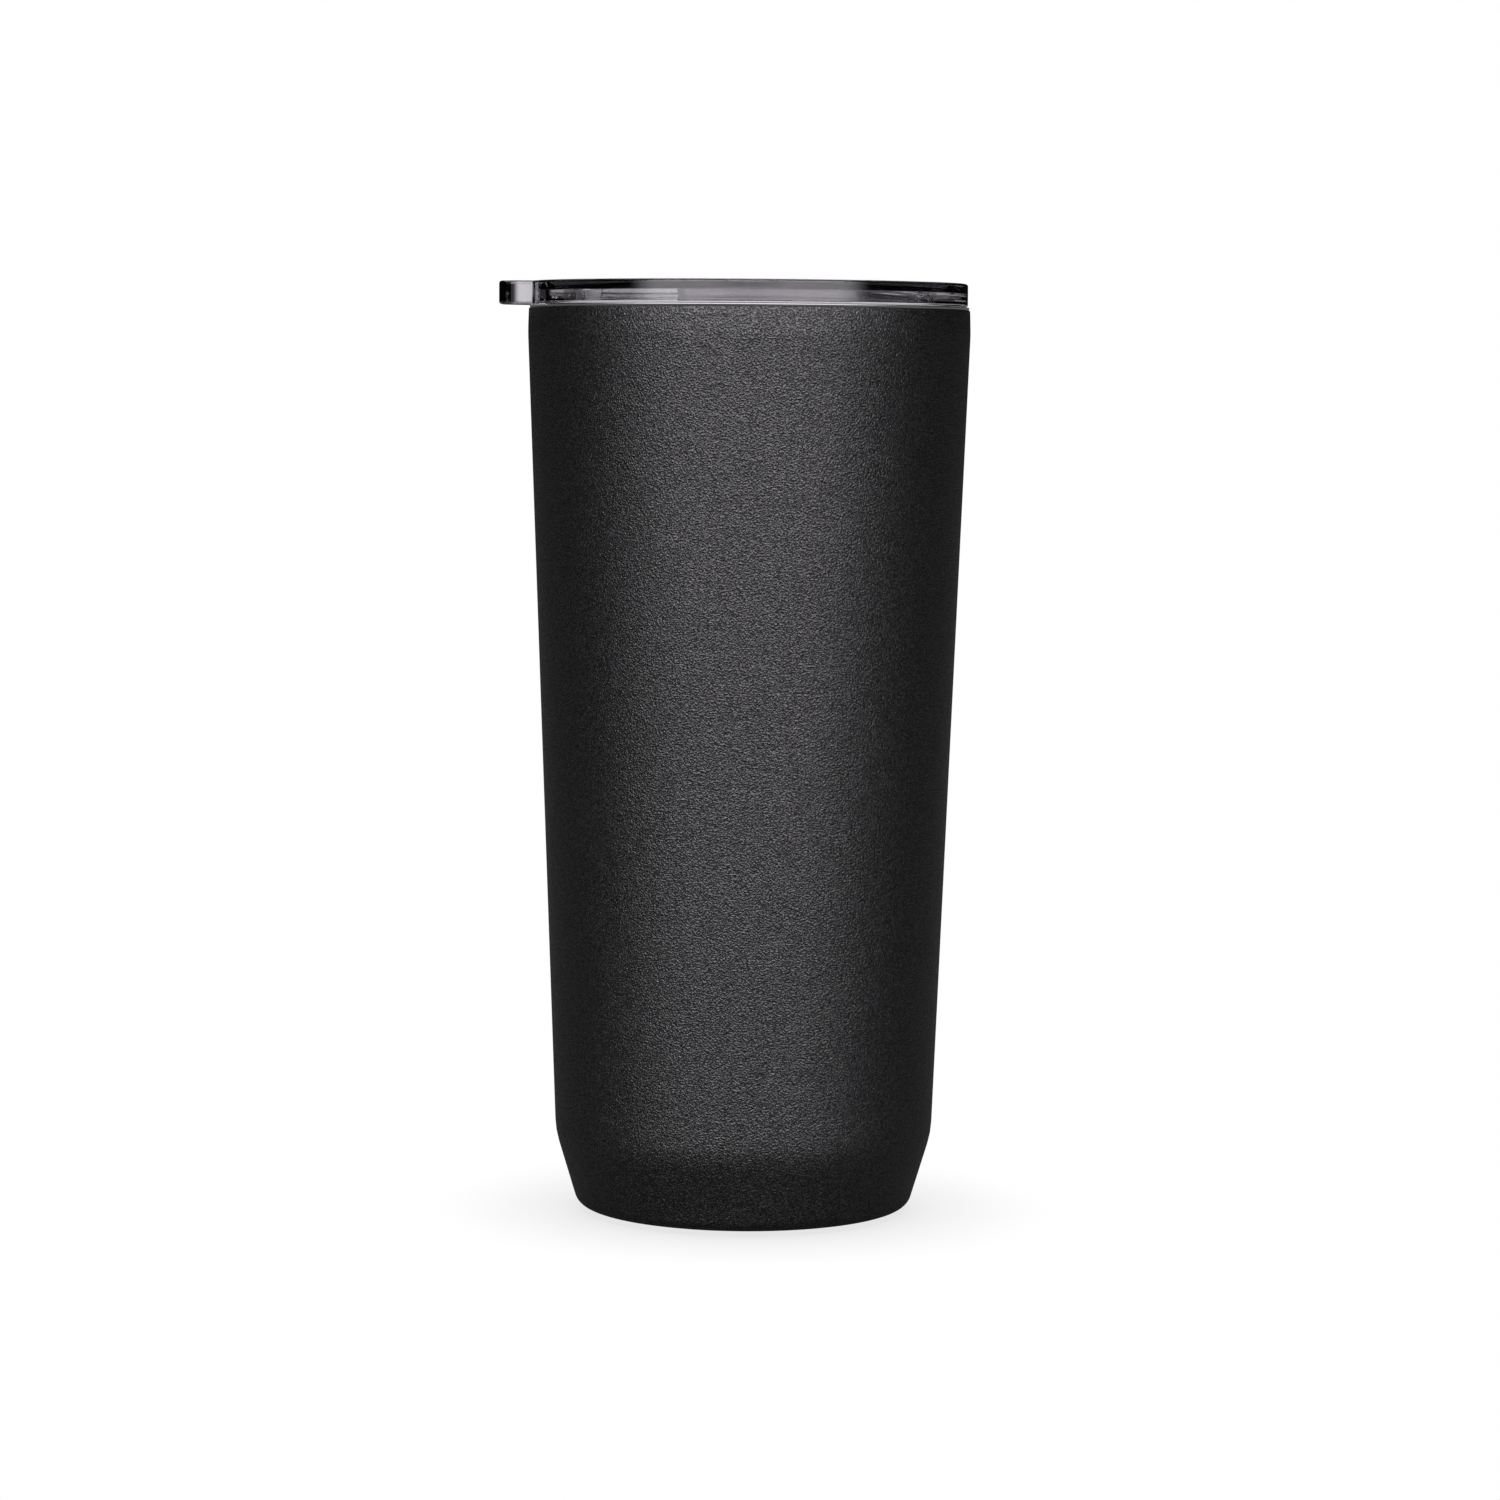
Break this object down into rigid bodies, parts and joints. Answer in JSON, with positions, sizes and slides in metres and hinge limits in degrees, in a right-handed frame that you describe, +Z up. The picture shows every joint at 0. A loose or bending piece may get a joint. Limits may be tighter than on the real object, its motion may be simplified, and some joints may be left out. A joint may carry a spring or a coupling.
{
  "type": "insulated tumbler",
  "caption": "Tapered double-wall insulated tumbler with a clear push-in lid, a lifting tab and a sliding sip closure.",
  "frame": {"origin": "centre of the face the tumbler stands on", "axes": "+Z up along the tumbler's axis, -X towards the lid's lifting tab, +X towards the drinking opening"},
  "size_m": [0.0894, 0.084, 0.177],
  "materials": {
    "powder_coat": "matte black powder coat with a fine grain",
    "brushed_steel": "turned and brushed stainless steel",
    "plain_steel": "bare stainless sheet",
    "copper_foil": "bright copper foil",
    "sealing_glass": "fused sealing glass",
    "getter_alloy": "pressed metal powder",
    "black_silicone": "matte black silicone",
    "smoke_silicone": "smoky grey silicone",
    "clear_smoke_plastic": "glossy see-through plastic with a smoky grey tint"
  },
  "bodies": {
    "cup": {"outer_shell": "powder_coat", "inner_cup": "brushed_steel", "heat_shield_foil": "copper_foil", "base_plate": "plain_steel", "vacuum_seal_bead": "sealing_glass", "getter_pill": "getter_alloy", "getter_strap": "plain_steel", "foot_pad": "black_silicone"},
    "gasket": {"lid_gasket": "smoke_silicone"},
    "lid": {"lid_body": "clear_smoke_plastic"},
    "closure": {"slider": "clear_smoke_plastic", "slider_seal": "smoke_silicone"}
  },
  "joints": [
    {"name": "lid_lift", "type": "slide", "parent": "cup", "child": "gasket", "axis": [0, 0, 1], "range_m": [0, 0.04]},
    {"name": "lid_turn", "type": "hinge", "parent": "gasket", "child": "lid", "pos_m": [0, 0, 0.1665], "axis": [0, 0, 1], "continuous": true},
    {"name": "slider_slide", "type": "slide", "parent": "lid", "child": "closure", "axis": [-1, 0, 0], "range_m": [0, 0.0155]}
  ]
}
